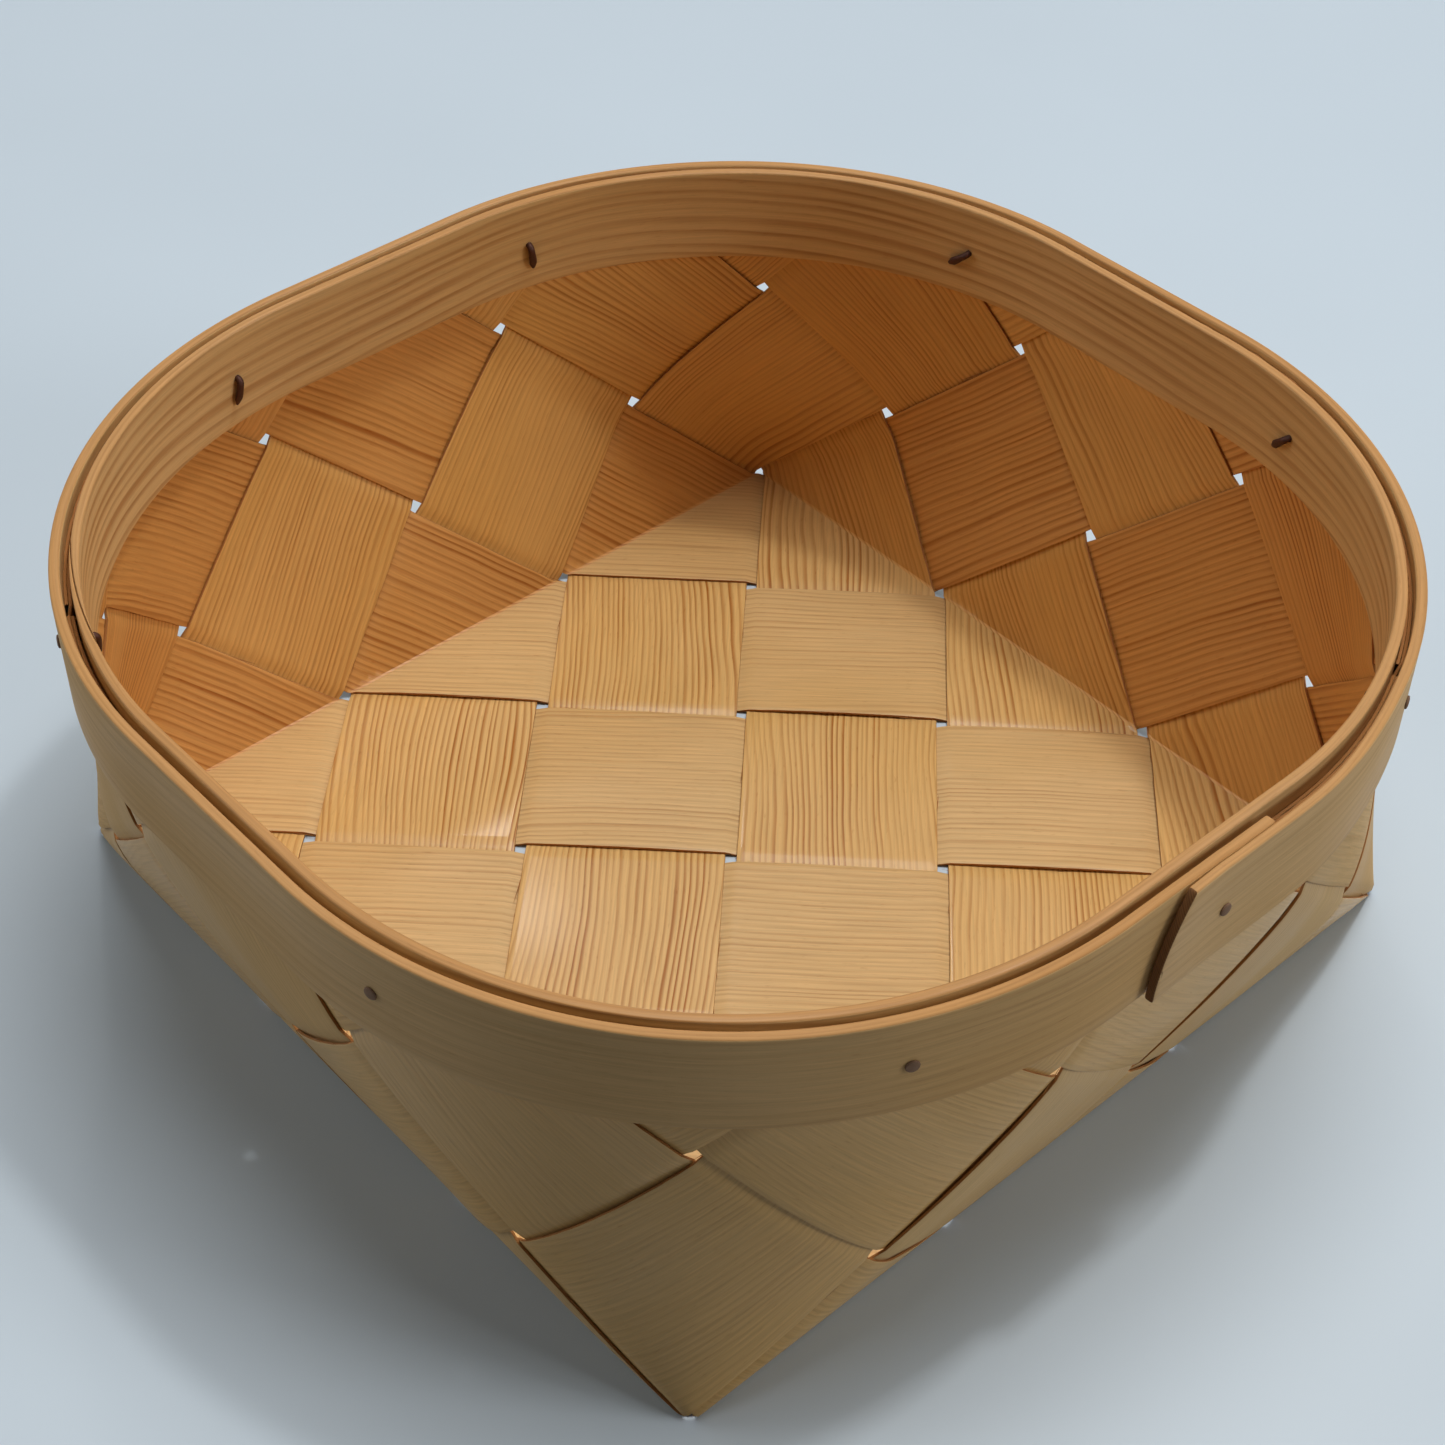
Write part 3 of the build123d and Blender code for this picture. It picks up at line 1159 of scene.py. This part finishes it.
LAMPS = (
    Lamp("back_panel", (0.10, 0.95, 1.50), 1.50, 3.2),
    Lamp("top_panel", (-0.10, 0.30, 1.70), 1.00, 15.5),
    Lamp("key_lamp", (0.14, 0.58, 1.80), 0.12, 6.8),
    Lamp("right_lamp", (1.18, 0.80, 0.66), 0.50, 6.0),
    Lamp("low_fill", (-1.05, -0.75, 0.66), 0.80, 4.2),
    Lamp("sheen_lamp", (-1.15, 0.73, 1.46), 0.12, 1.1),
)


@dataclass
class Studio:
    """Pale table top, soft light and the camera, in metres."""

    floor_size: float = 6.0
    floor_colour: str = "#c7d6e3"
    # painted shade: the darker grey that the table throws back as bounced light
    shaded_floor_bounce: str = "#929392"
    floor_roughness: float = 0.5
    mottle: tuple[float, float] = (0.97, 1.03)
    mottle_scale: float = 9.0
    mottle_detail: float = 2.0
    fade_start: float = 0.6
    fade_end: float = 1.9
    sky_colour: str = "#d3dde6"
    sky_strength: float = 0.03
    backdrop_strength: float = 0.78
    lamp_colour: str = "#fffcf8"
    eye: tuple[float, float, float] = (0.27505, -0.25317, 0.38987)
    aim: tuple[float, float, float] = (-0.03332, 0.02739, 0.0)
    roll: float = 0.01350
    lens: float = 63.24
    sensor: float = 36.0
    near_clip: float = 0.01

    def seen(self, tree: bpy.types.NodeTree) -> bpy.types.NodeSocket:
        """Tell whether the backdrop is seen, straight or in a reflection, or only lights the part.

        Args:
            tree: Node tree of the table top or the sky.

        Returns:
            A socket that is 1 where it is seen.
        """
        shown = add_node(tree, "LightPath", out="Is Camera Ray")
        rays = shown.node.outputs
        for ray in ("Is Glossy Ray", "Is Transmission Ray"):
            shown = add_node(tree, "Math", {0: shown, 1: rays[ray]}, operation="MAXIMUM")
        return shown

    def build_floor(self) -> None:
        """Lay the table top."""
        # Pale blue-grey paint with a faint mottle. It throws a darker grey back on the part as bounced
        # light, a painted shade for the shade on the table in front of the part, and far off it fades
        # into the backdrop.
        material = new_material("painted_table_top")
        tree = material.node_tree
        place = add_node(tree, "TexCoord", out="Object")
        links = {"Vector": place, "Scale": self.mottle_scale, "Detail": self.mottle_detail}
        mottle = add_node(tree, "TexNoise", links)
        tint = add_node(tree, "MapRange", {0: mottle, 3: self.mottle[0], 4: self.mottle[1]})
        seen = self.seen(tree)
        links = {0: seen, 6: linear(self.shaded_floor_bounce), 7: linear(self.floor_colour)}
        paint = add_node(tree, "Mix", links, out=2, data_type="RGBA")
        colour = add_node(tree, "VectorMath", {0: paint, 3: tint}, operation="SCALE")
        far = add_node(tree, "VectorMath", {0: place}, out="Value", operation="LENGTH")
        links = {0: far, 1: self.fade_start, 2: self.fade_end}
        far = add_node(tree, "MapRange", links, interpolation_type="SMOOTHSTEP")
        far = add_node(tree, "Math", {0: far, 1: seen}, operation="MULTIPLY")
        links = {"Base Color": colour, "Roughness": self.floor_roughness}
        near = add_node(tree, "BsdfPrincipled", links)
        glow = add_node(tree, "Emission", {0: linear(self.sky_colour), 1: self.backdrop_strength})
        shader = add_node(tree, "MixShader", {0: far, 1: near, 2: glow})
        add_node(tree, "OutputMaterial", {0: shader})
        bm = bmesh.new()
        bmesh.ops.create_grid(bm, x_segments=1, y_segments=1, size=self.floor_size / 2)
        mesh = bpy.data.meshes.new("table_top")
        bm.to_mesh(mesh)
        bm.free()
        mesh.materials.append(material)
        floor = bpy.data.objects.new("table_top", mesh)
        bpy.context.scene.collection.objects.link(floor)

    def build_light(self) -> None:
        """Hang the soft lamps and set the sky."""
        world = bpy.data.worlds.new("soft_sky")
        world.use_nodes = True
        tree = world.node_tree
        tree.nodes.clear()
        links = {0: self.seen(tree), 3: self.sky_strength, 4: self.backdrop_strength}
        strength = add_node(tree, "MapRange", links)
        sky = add_node(tree, "Background", {0: linear(self.sky_colour), 1: strength})
        add_node(tree, "OutputWorld", {0: sky})
        bpy.context.scene.world = world
        for lamp in LAMPS:
            lamp.hang(self.lamp_colour)

    def build_camera(self) -> None:
        """Stand the camera where the photograph was taken from."""
        camera = bpy.data.cameras.new("camera")
        camera.sensor_fit = "HORIZONTAL"
        camera.sensor_width = self.sensor
        camera.lens = self.lens
        camera.clip_start = self.near_clip
        holder = bpy.data.objects.new("camera", camera)
        look = (Vector(self.aim) - Vector(self.eye)).to_track_quat("-Z", "Y").to_matrix()
        turned = look @ Matrix.Rotation(self.roll, 3, "Z")
        holder.matrix_world = Matrix.Translation(self.eye) @ turned.to_4x4()
        bpy.context.scene.collection.objects.link(holder)
        bpy.context.scene.camera = holder

    def build(self) -> None:
        """Set up the stage."""
        self.build_floor()
        self.build_light()
        self.build_camera()
        bpy.context.scene.view_settings.view_transform = "Standard"


def main() -> None:
    """Build the basket and its stage."""
    logging.basicConfig(level=logging.INFO, format="%(name)s: %(message)s")
    weave = Weave()
    rim = Rim(weave)
    Splints(weave).build()
    rim.build()
    Nails(rim).build()
    Studio().build()


if __name__ == "__main__":
    main()
